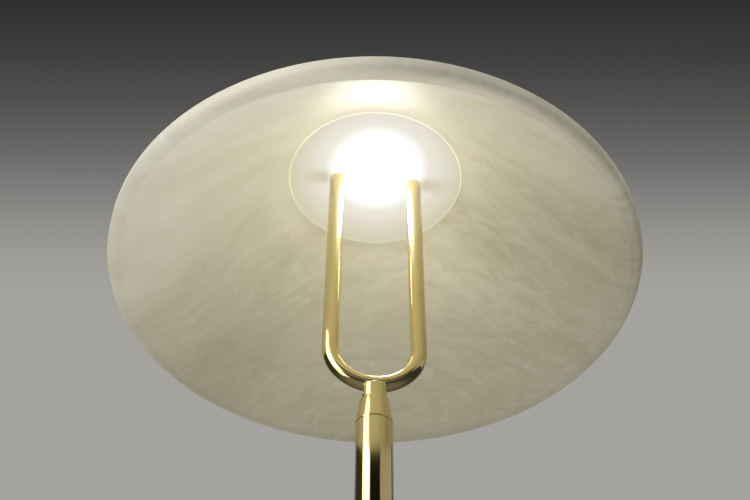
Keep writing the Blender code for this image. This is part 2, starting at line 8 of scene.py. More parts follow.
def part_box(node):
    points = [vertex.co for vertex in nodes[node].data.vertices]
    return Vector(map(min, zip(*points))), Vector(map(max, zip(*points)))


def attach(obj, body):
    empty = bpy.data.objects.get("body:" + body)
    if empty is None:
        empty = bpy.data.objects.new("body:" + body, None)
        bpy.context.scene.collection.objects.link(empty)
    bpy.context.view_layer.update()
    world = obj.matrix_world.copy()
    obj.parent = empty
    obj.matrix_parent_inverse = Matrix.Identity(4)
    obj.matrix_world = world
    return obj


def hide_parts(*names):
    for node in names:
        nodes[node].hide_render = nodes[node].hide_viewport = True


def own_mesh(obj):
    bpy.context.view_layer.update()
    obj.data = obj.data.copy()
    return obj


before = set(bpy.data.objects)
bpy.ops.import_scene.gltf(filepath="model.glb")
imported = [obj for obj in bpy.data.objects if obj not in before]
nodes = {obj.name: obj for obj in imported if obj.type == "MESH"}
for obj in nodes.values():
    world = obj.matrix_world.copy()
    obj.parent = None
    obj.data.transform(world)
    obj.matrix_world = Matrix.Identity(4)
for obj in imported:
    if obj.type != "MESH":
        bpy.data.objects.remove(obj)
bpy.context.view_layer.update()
print("frame loaded:", len(nodes), "nodes")

mm = 0.001
gap = 0.3 * mm  # between neighbouring pieces
sharpAngle = math.radians(30)


def hexColour(code):
    # an sRGB hex colour as linear light
    parts = [int(code[i:i + 2], 16) / 255 for i in (1, 3, 5)]
    return tuple(p / 12.92 if p <= 0.04045 else ((p + 0.055) / 1.055) ** 2.4 for p in parts)


def rgba(code):
    return (*hexColour(code), 1)


def plug(tree, node, inputs):
    # gives each socket, by name or by number, a value, another node's output, or a node's first output
    for key, value in inputs.items():
        if isinstance(value, bpy.types.Node):
            value = value.outputs[0]
        if isinstance(value, bpy.types.NodeSocket):
            tree.links.new(value, node.inputs[key])
        else:
            node.inputs[key].default_value = value


def addNode(tree, kind, inputs, **settings):
    node = tree.nodes.new(kind)
    for key, value in settings.items():
        setattr(node, key, value)
    plug(tree, node, inputs)
    return node


def newMaterial(name):
    # also gives the node tree, the shader, and the place on the object in metres
    material = bpy.data.materials.new(name)
    material.use_nodes = True
    tree = material.node_tree
    place = addNode(tree, "ShaderNodeTexCoord", {}).outputs["Object"]
    return material, tree, tree.nodes["Principled BSDF"], place


def setRamp(ramp, stops):
    # stops are (position, colour) pairs
    elements = ramp.color_ramp.elements
    while len(elements) > 1:
        elements.remove(elements[-1])
    elements[0].position = stops[0][0]
    elements[0].color = stops[0][1]
    for position, colour in stops[1:]:
        elements.new(position).color = colour


view = {
    "heading": 5.9,  # degrees from +Y towards +X
    "distance": 0.7924,  # level, from the stem's axis
    "belowRim": 0.7558,
    "pitch": 45.66,
    "roll": 0.23,
    "lens": 52.78,
}

heading = math.radians(view["heading"])
ahead = Vector((math.sin(heading), math.cos(heading), 0))
across = Vector((math.cos(heading), -math.sin(heading), 0))


def makeCamera():
    data = bpy.data.cameras.new("camera")
    data.sensor_width = 36
    data.lens = view["lens"]
    data.clip_start = 0.05
    camera = bpy.data.objects.new("camera", data)
    bpy.context.scene.collection.objects.link(camera)
    camera.location = -view["distance"] * ahead
    camera.location.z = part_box("shade")[0].z - view["belowRim"]
    pitch = math.radians(view["pitch"])
    sight = ahead * math.cos(pitch) + Vector((0, 0, math.sin(pitch)))
    roll = Quaternion(sight, -math.radians(view["roll"]))
    camera.rotation_euler = (roll @ sight.to_track_quat("-Z", "Y")).to_euler()
    bpy.context.scene.camera = camera


makeCamera()
bpy.context.scene.view_settings.view_transform = "Standard"
print("camera placed")


lacquer = {"roughness": 0.07, "wear": 0.05}


def polishedBrass():
    # polished brass, lacquered: a warm mirror with faint wipe marks and hairlines from the buffing wheel
    material, tree, shader, place = newMaterial("polishedBrass")
    # wipe marks 45 mm across
    smear = addNode(tree, "ShaderNodeTexNoise", {"Vector": place, "Scale": 22.0, "Detail": 4.0})
    # buffing lines are 0.02 mm apart, drawn about 0.6 mm apart to show
    stretched = addNode(tree, "ShaderNodeMapping", {"Vector": place, "Scale": (1.0, 1.0, 18.0)})
    hairline = addNode(tree, "ShaderNodeTexNoise", {"Vector": stretched, "Scale": 90.0, "Detail": 3.0})
    tone = addNode(tree, "ShaderNodeMix", {"Factor": smear, 6: rgba("#e4d3a0"), 7: rgba("#dac78e")},
                   data_type="RGBA")
    rough = addNode(tree, "ShaderNodeMapRange", {
        "Value": smear, "From Min": 0.3, "From Max": 0.75,
        "To Min": lacquer["roughness"], "To Max": lacquer["roughness"] + lacquer["wear"],
    })
    bump = addNode(tree, "ShaderNodeBump", {"Height": hairline, "Strength": 0.02, "Distance": 0.2 * mm})
    plug(tree, shader, {"Base Color": tone.outputs[2], "Roughness": rough, "Normal": bump, "Metallic": 1.0})
    return material


stone = {
    "drift": 75 * mm,  # how far the beds wander
    "bands": 0.55,  # strengths of the wide bands, the streaks and the flecks
    "streaks": 0.62,
    "flecks": 0.50,
    "paintedGlowNear": 0.58,  # painted glow on the bright side, and away from it
    "paintedGlowFar": 0.20,
    "paintedEdgeShade": -0.50,  # painted shade: what the painted glow loses in the edge face
    "paintedRingLight": 0.12,  # painted light that the stone beside the disc's edge and the rounding under the rim get
    "paintedLipLight": 0.045,
}


def honedAlabaster():
    # alabaster turned and honed: warm white stone in soft beds, with a low sheen, and with a painted glow
    # in place of the lamplight and daylight that the stone takes in
    material, tree, shader, place = newMaterial("honedAlabaster")
    spot = addNode(tree, "ShaderNodeSeparateXYZ", {0: place})
    # the beds run across the block, pushed about by a slow drift
    drift = addNode(tree, "ShaderNodeTexNoise", {"Vector": place, "Scale": 5.0, "Detail": 3.0})
    centred = addNode(tree, "ShaderNodeVectorMath", {0: drift.outputs["Color"], 1: (-0.5, -0.5, -0.5)},
                      operation="ADD")
    pushed = addNode(tree, "ShaderNodeVectorMath", {0: centred, "Scale": stone["drift"]}, operation="SCALE")
    bent = addNode(tree, "ShaderNodeVectorMath", {0: place, 1: pushed}, operation="ADD")
    beds = addNode(tree, "ShaderNodeVectorRotate", {"Vector": bent, "Angle": math.radians(12)},
                   rotation_type="Z_AXIS")
    # bands 62 mm wide, feathery streaks 10 mm wide and 36 mm long, and clearer flecks 8 mm wide
    broadPlace = addNode(tree, "ShaderNodeMapping", {"Vector": beds, "Scale": (3.5, 16.0, 5.0)})
    broad = addNode(tree, "ShaderNodeTexNoise", {"Vector": broadPlace, "Scale": 1.0, "Detail": 4.0})
    finePlace = addNode(tree, "ShaderNodeMapping", {"Vector": beds, "Scale": (28.0, 100.0, 34.0)})
    fine = addNode(tree, "ShaderNodeTexNoise", {
        "Vector": finePlace, "Scale": 1.0, "Detail": 7.0, "Roughness": 0.64, "Distortion": 0.9,
    })
    fleckPlace = addNode(tree, "ShaderNodeMapping", {"Vector": beds, "Scale": (50.0, 130.0, 60.0)})
    fleck = addNode(tree, "ShaderNodeTexNoise", {
        "Vector": fleckPlace, "Scale": 1.0, "Detail": 4.0, "Roughness": 0.6,
    })
    fleckSpread = addNode(tree, "ShaderNodeTexNoise", {"Vector": place, "Scale": 11.0, "Detail": 2.0})
    clearer = addNode(tree, "ShaderNodeMapRange", {
        "Value": spot.outputs["X"], "From Min": -120 * mm, "From Max": 100 * mm, "To Min": 0.6,
    }, interpolation_type="SMOOTHSTEP")
    broadTone = addNode(tree, "ShaderNodeMapRange", {
        "Value": broad, "From Min": 0.34, "From Max": 0.66, "To Min": -0.5, "To Max": 0.5,
    })
    fineTone = addNode(tree, "ShaderNodeMapRange", {
        "Value": fine, "From Min": 0.32, "From Max": 0.68, "To Min": -0.5, "To Max": 0.5,
    })
    fineHere = addNode(tree, "ShaderNodeMath", {0: fineTone, 1: clearer}, operation="MULTIPLY")
    fleckTone = addNode(tree, "ShaderNodeMapRange", {"Value": fleck, "From Min": 0.56, "From Max": 0.70})
    fleckArea = addNode(tree, "ShaderNodeMapRange", {
        "Value": fleckSpread, "From Min": 0.45, "From Max": 0.62,
    })
    fleckHere = addNode(tree, "ShaderNodeMath", {0: fleckTone, 1: fleckArea}, operation="MULTIPLY")
    cloud = addNode(tree, "ShaderNodeMath", {0: broadTone, 1: stone["bands"], 2: 0.45},
                    operation="MULTIPLY_ADD")
    cloud = addNode(tree, "ShaderNodeMath", {0: fineHere, 1: stone["streaks"], 2: cloud},
                    operation="MULTIPLY_ADD")
    cloud = addNode(tree, "ShaderNodeMath", {0: fleckHere, 1: stone["flecks"], 2: cloud},
                    operation="MULTIPLY_ADD", use_clamp=True)
    tone = addNode(tree, "ShaderNodeValToRGB", {"Fac": cloud})
    setRamp(tone, [(0.0, rgba("#d8d3bf")), (0.45, rgba("#e4dfce")), (1.0, rgba("#f2eee0"))])
    # painted glow in place of light taken into the stone: strongest on one side, thinning out and yellowing
    # away from it
    lean = addNode(tree, "ShaderNodeVectorMath", {0: place, 1: (0.53, 0.85, 0.0)}, operation="DOT_PRODUCT")
    away = addNode(tree, "ShaderNodeMapRange", {
        "Value": lean.outputs["Value"], "From Min": -250 * mm, "From Max": 40 * mm,
    })
    paintedGlow = addNode(tree, "ShaderNodeMapRange", {
        "Value": away, "To Min": stone["paintedGlowNear"], "To Max": stone["paintedGlowFar"],
    })
    tint = addNode(tree, "ShaderNodeMix", {"Factor": away, 6: rgba("#fcfefe"), 7: rgba("#fcfeec")},
                   data_type="RGBA")
    # the painted glow's colour: the stone's tone, tinted
    paintedGlowColour = addNode(tree, "ShaderNodeMix", {"Factor": 1.0, 6: tone, 7: tint.outputs[2]},
                      data_type="RGBA", blend_type="MULTIPLY")
    # painted shade: the painted glow is weaker in the edge face, and weakest on its +X side
    flat = addNode(tree, "ShaderNodeVectorMath", {0: place, 1: (1.0, 1.0, 0.0)}, operation="MULTIPLY")
    out = addNode(tree, "ShaderNodeVectorMath", {0: flat}, operation="LENGTH").outputs["Value"]
    edgeFace = addNode(tree, "ShaderNodeMapRange", {"Value": out, "From Min": 256 * mm, "From Max": 262 * mm})
    paintedEdgeShade = addNode(tree, "ShaderNodeMapRange", {
        "Value": spot.outputs["X"], "From Min": -100 * mm, "From Max": 60 * mm, "To Max": stone["paintedEdgeShade"],
    }, interpolation_type="SMOOTHSTEP")
    kept = addNode(tree, "ShaderNodeMath", {0: edgeFace, 1: paintedEdgeShade, 2: 1.0}, operation="MULTIPLY_ADD")
    # painted light: extra glow in the stone beside the disc's edge, in place of the lamplight that reaches it
    paintedRingLight = addNode(tree, "ShaderNodeMapRange", {
        "Value": out, "From Min": 93 * mm, "From Max": 128 * mm, "To Min": stone["paintedRingLight"], "To Max": 0.0,
    }, interpolation_type="SMOOTHSTEP")
    # painted light: a little extra glow on the rounding under the rim, fading out on the upright face
    paintedLipLight = addNode(tree, "ShaderNodeMapRange", {
        "Value": out, "From Min": 250 * mm, "From Max": 260 * mm, "To Max": stone["paintedLipLight"],
    }, interpolation_type="SMOOTHSTEP")
    pastLip = addNode(tree, "ShaderNodeMapRange", {
        "Value": out, "From Min": 261.5 * mm, "From Max": 263.8 * mm, "To Min": 1.0, "To Max": 0.0,
    }, interpolation_type="SMOOTHSTEP")
    extra = addNode(tree, "ShaderNodeMath", {0: paintedLipLight, 1: pastLip, 2: paintedRingLight}, operation="MULTIPLY_ADD")
    # emission strength: the painted glow, less the painted shade in the edge face, plus the painted light by
    # the disc and under the rim
    power = addNode(tree, "ShaderNodeMath", {0: paintedGlow, 1: kept, 2: extra}, operation="MULTIPLY_ADD")
    rough = addNode(tree, "ShaderNodeMapRange", {"Value": fine, "To Min": 0.36, "To Max": 0.52})
    bump = addNode(tree, "ShaderNodeBump", {"Height": fine, "Strength": 0.04, "Distance": 0.5 * mm})
    plug(tree, shader, {
        "Base Color": tone, "Emission Color": paintedGlowColour.outputs[2], "Emission Strength": power,
        "Roughness": rough, "Normal": bump, "IOR": 1.53,
    })
    return material


glow = {
    "shift": 17.5 * mm,  # of the lit middle, towards the front
    "narrowing": 1.10,  # of the lit middle, from side to side
    "fade": 104 * mm,  # where the tone is warmest
    "middle": 2.4,  # strengths in the lit middle and outside it
    "edge": 0.78,
    "hotRadius": 66 * mm,
    "line": 0.25,  # what the bright line adds
    "lampPower": 0.165,
    "lampRadius": 30 * mm,
}


def opalAcrylic():
    # opal acrylic, satin on its lit face: the light behind it blooms in the middle and fades to warm white
    material, tree, shader, place = newMaterial("opalAcrylic")
    spot = addNode(tree, "ShaderNodeSeparateXYZ", {0: place})
    flat = addNode(tree, "ShaderNodeVectorMath", {0: place, 1: (1.0, 1.0, 0.0)}, operation="MULTIPLY")
    out = addNode(tree, "ShaderNodeVectorMath", {0: flat}, operation="LENGTH").outputs["Value"]
    centre = addNode(tree, "ShaderNodeVectorMath", {
        0: place, 1: (glow["narrowing"], 1.0, 0.0), 2: (0.0, glow["shift"], 0.0),
    }, operation="MULTIPLY_ADD")
    reach = addNode(tree, "ShaderNodeVectorMath", {0: centre}, operation="LENGTH").outputs["Value"]
    # painted shadow: the posts at the prongs would keep some light from the disc's two sides, and that shade
    # is painted into its glow
    angle = addNode(tree, "ShaderNodeMath", {0: spot.outputs["Y"], 1: spot.outputs["X"]},
                    operation="DIVIDE")
    wedge = addNode(tree, "ShaderNodeMath", {0: angle}, operation="ABSOLUTE")
    inWedge = addNode(tree, "ShaderNodeMapRange", {
        "Value": wedge, "From Min": 0.02, "From Max": 0.24, "To Min": 0.8, "To Max": 0.0,
    }, interpolation_type="SMOOTHSTEP")
    beyond = addNode(tree, "ShaderNodeMapRange", {"Value": out, "From Min": 44 * mm, "From Max": 56 * mm},
                     interpolation_type="SMOOTHSTEP")
    within = addNode(tree, "ShaderNodeMapRange", {
        "Value": out, "From Min": 56 * mm, "From Max": 88 * mm, "To Min": 1.0, "To Max": 0.15,
    }, interpolation_type="SMOOTHSTEP")
    paintedPostShadow = addNode(tree, "ShaderNodeMath", {0: inWedge, 1: beyond}, operation="MULTIPLY")
    paintedPostShadow = addNode(tree, "ShaderNodeMath", {0: paintedPostShadow, 1: within}, operation="MULTIPLY")
    fade = addNode(tree, "ShaderNodeMapRange", {"Value": reach, "From Max": glow["fade"]})
    tone = addNode(tree, "ShaderNodeValToRGB", {"Fac": fade})
    setRamp(tone, [(0.0, rgba("#ffffff")), (0.50, rgba("#fffefa")), (0.66, rgba("#f8f5e9")),
                   (0.85, rgba("#ebe6d2")), (1.0, rgba("#e0d9bf"))])
    tone.color_ramp.interpolation = "EASE"
    # the painted shadow's tan colour mixed into the glow
    shaded = addNode(tree, "ShaderNodeMix", {"Factor": paintedPostShadow, 6: tone, 7: rgba("#d6ccae")}, data_type="RGBA")
    hot = addNode(tree, "ShaderNodeMapRange", {
        "Value": reach, "From Max": glow["hotRadius"], "To Min": glow["middle"], "To Max": glow["edge"],
    }, interpolation_type="SMOOTHSTEP")
    # its polished edge carries a thin bright line
    line = addNode(tree, "ShaderNodeMapRange", {
        "Value": out, "From Min": 93.2 * mm, "From Max": 93.8 * mm, "To Max": glow["line"],
    })
    power = addNode(tree, "ShaderNodeMath", {0: hot, 1: line}, operation="ADD")
    # satin grain 0.7 mm across
    grain = addNode(tree, "ShaderNodeTexNoise", {"Vector": place, "Scale": 1400.0, "Detail": 2.0})
    bump = addNode(tree, "ShaderNodeBump", {"Height": grain, "Strength": 0.05, "Distance": 0.1 * mm})
    plug(tree, shader, {
        "Base Color": rgba("#8c887c"), "Emission Color": shaded.outputs[2], "Emission Strength": power,
        "Roughness": 0.4, "Normal": bump, "IOR": 1.49,
    })
    return material


def plainMaterial(name, dark, light, rough, scale, stretch=(1, 1, 1), strength=0.3, depth=0.1 * mm,
                  metallic=0.0, ior=1.5, sheen=0.0):
    # two tones, an uneven polish and a relief from one noise, of which scale grains fit in a metre
    material, tree, shader, place = newMaterial(name)
    shaped = addNode(tree, "ShaderNodeMapping", {"Vector": place, "Scale": stretch})
    grain = addNode(tree, "ShaderNodeTexNoise", {"Vector": shaped, "Scale": scale, "Detail": 5.0})
    tone = addNode(tree, "ShaderNodeValToRGB", {"Fac": grain})
    setRamp(tone, [(0.3, rgba(dark)), (0.7, rgba(light))])
    spread = addNode(tree, "ShaderNodeMapRange", {
        "Value": grain, "To Min": rough - 0.08, "To Max": rough + 0.08,
    })
    bump = addNode(tree, "ShaderNodeBump", {"Height": grain, "Strength": strength, "Distance": depth})
    plug(tree, shader, {
        "Base Color": tone, "Roughness": spread, "Normal": bump, "Metallic": metallic, "IOR": ior,
        "Sheen Weight": sheen,
    })
    return material


brass = polishedBrass()
alabaster = honedAlabaster()
opal = opalAcrylic()
# enamel baked on pressed steel: bright white with a faint orange peel, 1.4 mm across
enamel = plainMaterial("bakedEnamel", "#e4e4e0", "#efefec", 0.32, 700)
# zinc plate over steel: grey-blue with a patchy sheen, 4 mm across
zinc = plainMaterial("zincPlatedSteel", "#a9abb0", "#c4c6c8", 0.32, 260, strength=0.15, metallic=1.0)
# machined aluminium: pale with fine straight tool lines, 1.2 mm apart to show
aluminium = plainMaterial("machinedAluminium", "#c6c8ca", "#dcdde0", 0.34, 60, (1, 1, 14), metallic=1.0)
# cast iron under black primer: dull, with sand pits 2.4 mm across
castIron = plainMaterial("primedCastIron", "#1b1b1c", "#2a2a2b", 0.62, 420, depth=0.4 * mm)
# moulded nylon: black with a spark-eroded grain, 0.7 mm across
nylon = plainMaterial("mouldedNylon", "#121213", "#1f1f21", 0.48, 1500, ior=1.53)
# pressed wool felt: dark grey, no shine, loose fibres 1.1 mm apart
felt = plainMaterial("pressedWoolFelt", "#2c2c2d", "#4a4a4b", 0.9, 900, depth=0.6 * mm, sheen=0.4)
# extruded PVC sleeve on the wires: ivory, a little waxy, uneven over 3 mm
pvc = plainMaterial("extrudedPvc", "#cfccc2", "#ddd9cf", 0.42, 300, ior=1.53)
# moulded silicone: milky and matt, uneven over 2 mm
silicone = plainMaterial("mouldedSilicone", "#d8d8d4", "#e6e6e2", 0.55, 500, ior=1.41)
# white solder mask on an aluminium board, with a 2.5 mm unevenness
solderMask = plainMaterial("solderMask", "#e2e3e2", "#f0f0ef", 0.4, 400)
# phosphor under clear silicone: egg-yolk yellow, in grains 0.8 mm across
phosphor = plainMaterial("castPhosphor", "#e8b445", "#f4cf6c", 0.35, 1200, ior=1.41)
print("materials made")


def roundedOutline(points, closed=True):
    # points are (radius, height) or (radius, height, fillet); a fillet becomes an arc with a point each
    # 12 degrees
    outline = []
    count = len(points)
    for i, point in enumerate(points):
        here = Vector(point[:2])
        fillet = point[2] if len(point) > 2 else 0
        if not fillet or (not closed and i in (0, count - 1)):
            outline.append(tuple(here))
            continue
        before = (Vector(points[i - 1][:2]) - here).normalized()
        after = (Vector(points[(i + 1) % count][:2]) - here).normalized()
        half = before.angle(after) / 2
        middle = here + (before + after).normalized() * (fillet / math.sin(half))
        start = here + before * (fillet / math.tan(half)) - middle
        end = here + after * (fillet / math.tan(half)) - middle
        sweep = start.angle(end)
        steps = max(4, round(math.degrees(sweep) / 12))
        for k in range(steps + 1):
            arm = start * math.sin(sweep * (1 - k / steps)) + end * math.sin(sweep * k / steps)
            outline.append(tuple(middle + arm / math.sin(sweep)))
    return outline


def smooth(mesh):
    mesh.shade_smooth()
    mesh.set_sharp_from_angle(angle=sharpAngle)


def meshObject(name, bm, material):
    bmesh.ops.remove_doubles(bm, verts=bm.verts, dist=1e-7)
    bmesh.ops.recalc_face_normals(bm, faces=bm.faces)
    mesh = bpy.data.meshes.new(name)
    bm.to_mesh(mesh)
    bm.free()
    smooth(mesh)
    mesh.materials.append(material)
    piece = bpy.data.objects.new(name, mesh)
    bpy.context.scene.collection.objects.link(piece)
    return piece


def circle(steps):
    # unit (cosine, sine) pairs all the way round
    turns = [math.tau * k / steps for k in range(steps)]
    return [(math.cos(turn), math.sin(turn)) for turn in turns]


def turned(name, outline, material, steps=128, centre=(0, 0, 0), closed=True, axis=(0, 0, 1)):
    # spins an outline of (radius, height) points; an open one starts and ends on the axis
    bm = bmesh.new()
    rings = []
    for radius, height in outline:
        if radius < 1e-9:
            rings.append([bm.verts.new((0, 0, height))])
        else:
            rings.append([bm.verts.new((radius * x, radius * y, height)) for x, y in circle(steps)])
    pairs = list(zip(rings, rings[1:]))
    if closed:
        pairs.append((rings[-1], rings[0]))
    for one, two in pairs:
        for k in range(steps):
            corners = [one[k % len(one)], one[(k + 1) % len(one)]]
            corners += [two[(k + 1) % len(two)], two[k % len(two)]]
            corners = list(dict.fromkeys(corners))
            if len(corners) > 2:
                bm.faces.new(corners)
    if axis != (0, 0, 1):
        turn = Vector((0, 0, 1)).rotation_difference(Vector(axis)).to_matrix()
        bmesh.ops.rotate(bm, verts=bm.verts, cent=(0, 0, 0), matrix=turn)
    bmesh.ops.translate(bm, verts=bm.verts, vec=centre)
    return meshObject(name, bm, material)


def drillCutter(radius, face, steps, axis=(0, 0, 1)):
    # reaches to both sides of a point on the face that is drilled
    reach = 10 * mm
    outline = [(0, -reach), (radius, -reach), (radius, reach), (0, reach)]
    return turned("cutter", outline, None, steps, face, closed=False, axis=axis)


def boxCutter(size, centre, bevel=0.0, turn=0.0):
    bm = bmesh.new()
    bmesh.ops.create_cube(bm, size=1)
    bmesh.ops.scale(bm, vec=size, verts=bm.verts)
    if bevel:
        bmesh.ops.bevel(bm, geom=bm.edges[:], offset=bevel, segments=4, profile=0.5, affect="EDGES")
    piece = meshObject("cutter", bm, None)
    piece.location = centre
    piece.rotation_euler = (0, 0, turn)
    return piece


def cutWith(piece, cutters):
    # takes the cutters out of the piece for good, then removes them
    for cutter in cutters:
        modifier = piece.modifiers.new("cut", "BOOLEAN")
        modifier.operation = "DIFFERENCE"
        modifier.solver = "EXACT"
        modifier.object = cutter
    graph = bpy.context.evaluated_depsgraph_get()
    graph.update()
    mesh = bpy.data.meshes.new_from_object(piece.evaluated_get(graph))
    piece.modifiers.clear()
    old = piece.data
    piece.data = mesh
    mesh.name = piece.name
    bpy.data.meshes.remove(old)
    for cutter in cutters:
        bpy.data.objects.remove(cutter)
    smooth(mesh)


def show(piece, body, *replaced):
    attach(piece, body)
    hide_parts(*replaced)


shade = {
    "rimRadius": 264 * mm,
    "rimHeight": 17.5 * mm,
    "rimRound": 8 * mm,
    "rimTopRound": 2.5 * mm,
    "coneAngle": 46.1,  # degrees from level
    "topWall": 18 * mm,
    "edge": 1.2 * mm,  # the honed rounding at its top
}
disc = {"faceRound": 0.5 * mm, "backRound": 0.3 * mm}


def makeShade():
    low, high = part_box("shade")
    angle = math.radians(shade["coneAngle"])
    slope = math.tan(angle)
    rimRadius, rimRound = shade["rimRadius"], shade["rimRound"]
    # where the cone's inside would meet the rim's upright face
    reach = rimRound * (1 + math.sin(angle))
    corner = low.z + rimRound * (1 - math.cos(angle)) - reach * slope
    topInside = rimRadius - (high.z - corner) / slope
    outline = roundedOutline([
        (rimRadius, corner, rimRound),
        (rimRadius, low.z + shade["rimHeight"], shade["rimTopRound"]),
        (topInside + shade["topWall"], high.z, shade["edge"]),
        (topInside, high.z, shade["edge"]),
    ])
    show(turned("alabasterShade", outline, alabaster, 256), "shade", "shade")
    return slope


def makeDiffuser(slope):
    # its edge follows the cone
    low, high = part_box("diffuser")
    top = high.x - (high.z - low.z) / slope
    outline = roundedOutline([
        (0, low.z), (high.x, low.z, disc["faceRound"]), (top, high.z, disc["backRound"]), (0, high.z),
    ], closed=False)
    show(turned("opalDisc", outline, opal, 192, closed=False), "stand", "diffuser")


makeDiffuser(makeShade())
print("shade and disc made")


fork = {"wall": 1.5 * mm, "edge": 0.5 * mm, "sides": 64, "bendSteps": 64}


def makeFork():
    low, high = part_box("fork_tube")
    radius = high.y
    bore = radius - fork["wall"]
    half = high.x - radius
    bendHeight = low.z + radius + half
    edge = fork["edge"]
    down, up = Vector((0, 0, -1)), Vector((0, 0, 1))
    start, end = Vector((-half, 0, high.z)), Vector((half, 0, high.z))
    bend = []
    for k in range(fork["bendSteps"] + 1):
        turn = math.pi * (k / fork["bendSteps"] - 0.5)
        place = Vector((half * math.sin(turn), 0, bendHeight - half * math.cos(turn)))
        bend.append((place, Vector((math.cos(turn), 0, math.sin(turn)))))
    # rings round one end's lip, along the outside, round the other lip and back through the bore
    rings = [(radius - edge, start, down), (radius - 0.3 * edge, start + 0.3 * edge * down, down)]
    rings += [(radius, start + edge * down, down)]
    rings += [(radius, place, along) for place, along in bend]
    rings += [(radius, end - edge * up, up), (radius - 0.3 * edge, end - 0.3 * edge * up, up)]
    rings += [(radius - edge, end, up), (bore, end, up)]
    rings += [(bore, place, along) for place, along in reversed(bend)]
    rings += [(bore, start, down)]
    bm = bmesh.new()
    side = Vector((0, 1, 0))
    made = []
    for r, place, along in rings:
        lift = along.cross(side)
        made.append([bm.verts.new(place + r * (x * side + y * lift)) for x, y in circle(fork["sides"])])
    for one, two in zip(made, made[1:] + made[:1]):
        for k in range(fork["sides"]):
            bm.faces.new((one[k - 1], one[k], two[k], two[k - 1]))
    show(meshObject("forkTube", bm, brass), "stand", "fork_tube")


makeFork()
print("fork made")


neck = {
    "land": 1.2 * mm,
    "topRadius": 13.3 * mm,
    "slotDepth": 15 * mm,
    "slotWidth": 16.6 * mm,
    "hollow": 12 * mm,  # its height above the seam
    "hollowRadius": 10 * mm,
    "studHole": 5.3 * mm,
    "softEdge": 0.35 * mm,
    "landRound": 0.8 * mm,
    "coveRound": 12 * mm,
    "topRound": 1.4 * mm,
}
stem = {
    "wall": 2 * mm,
    "softEdge": 0.3 * mm,
    "screwHole": 2.8 * mm,
    "couplerBore": 8 * mm,
    "ringInset": 0.8 * mm,
    "reveal": 0.5 * mm,  # half the shadow gap at the coupler
    "lead": 0.4 * mm,  # what eases a spigot into its tube
}


def makeNeck():
    low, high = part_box("neck")
    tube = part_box("stem_upper")[1]
    seam = tube.z + gap
    spigot = tube.x - stem["wall"] - gap
    top, bore, studHole = neck["topRadius"], neck["hollowRadius"], neck["studHole"]
    floor = high.z - neck["slotDepth"]
    roof = seam + neck["hollow"]
    outline = roundedOutline([
        (bore, low.z), (spigot, low.z, stem["lead"]), (spigot, seam), (high.x, seam, neck["softEdge"]),
        (high.x, seam + neck["land"], neck["landRound"]), (top, floor, neck["coveRound"]),
        (top, high.z, neck["topRound"]), (studHole, high.z), (studHole, roof), (bore, roof),
    ])
    piece = turned("turnedNeck", outline, brass, 192)
    size = Vector((60 * mm, neck["slotWidth"], 40 * mm))  # longer and taller than the neck
    cutWith(piece, [boxCutter(size, (0, 0, floor + size.z / 2))])
    bevel = piece.modifiers.new("softEdges", "BEVEL")
    bevel.width = neck["softEdge"]
    bevel.segments = 3
    bevel.limit_method = "ANGLE"
    bevel.angle_limit = math.radians(50)
    show(piece, "stand", "neck")


def makeTube(name, node):
    low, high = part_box(node)
    bore, soft = high.x - stem["wall"], stem["softEdge"]
    outline = roundedOutline([(bore, low.z), (high.x, low.z, soft), (high.x, high.z, soft), (bore, high.z)])
    piece = turned(name, outline, brass, 192)
    show(piece, "stand", node)
    return piece


def makeCoupler():
    low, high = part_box("stem_coupler")
    middle = (low.z + high.z) / 2
    bore, spigot, lead = stem["couplerBore"], high.x, stem["lead"]
    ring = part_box("stem_upper")[1].x - stem["ringInset"]
    under, over = middle - stem["reveal"], middle + stem["reveal"]
    outline = roundedOutline([
        (bore, low.z), (spigot, low.z, lead), (spigot, under), (ring, under),
        (ring, over), (spigot, over), (spigot, high.z, lead), (bore, high.z),
    ])
    show(turned("stemCoupler", outline, brass), "stand", "stem_coupler")


def makeStem():
    makeTube("upperTube", "stem_upper")
    lower = makeTube("lowerTube", "stem_lower")
    screwLow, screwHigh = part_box("stem_grub_screw")
    face = (0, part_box("stem_lower")[1].y, (screwLow.z + screwHigh.z) / 2)
    cutWith(lower, [drillCutter(stem["screwHole"], face, 48, (0, 1, 0))])
    makeCoupler()


makeNeck()
makeStem()
print("neck and stem made")


base = {"wall": 2 * mm, "edge": 1.6 * mm, "softEdge": 0.4 * mm, "inletHole": 6.1 * mm}
button = {
    "radius": 14 * mm,
    "edge": 1.4 * mm,
    "flange": 2.5 * mm,  # its thickness
    "post": 3 * mm,
    "postEdge": 0.4 * mm,
    "travel": 3 * mm,
}
pad = {"width": 18 * mm, "round": 0.5 * mm, "outerRound": 0.8 * mm}
inlet = {
    "bore": 3.8 * mm,
    "shank": 5.8 * mm,
    "collar": 9 * mm,
    "collarHeight": 2 * mm,
    "nose": 7.5 * mm,
    "mouth": 4.4 * mm,
    "mouthDepth": 0.9 * mm,
    "softEdge": 0.3 * mm,
    "noseRound": 0.6 * mm,
    "mouthRound": 0.4 * mm,
}


def makeBase():
    low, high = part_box("base_cover")
    buttonLow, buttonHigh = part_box("foot_button")
    bushLow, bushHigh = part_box("inlet_bush")
    inner, under = high.x - base["wall"], high.z - base["wall"]
    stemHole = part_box("stem_lower")[1].x + gap
    soft = base["softEdge"]
    outline = roundedOutline([
        (inner, low.z), (high.x, low.z, soft), (high.x, high.z, base["edge"]), (stemHole, high.z, soft),
        (stemHole, under), (inner, under),
    ])
    cover = turned("baseCover", outline, brass, 256)
    buttonFace = (0, (buttonLow.y + buttonHigh.y) / 2, high.z)
    inletFace = (0, high.y, (bushLow.z + bushHigh.z) / 2)
    cutWith(cover, [
        drillCutter(button["radius"] + gap, buttonFace, 96),
        drillCutter(base["inletHole"], inletFace, 64, (0, 1, 0)),
    ])
    show(cover, "stand", "base_cover")


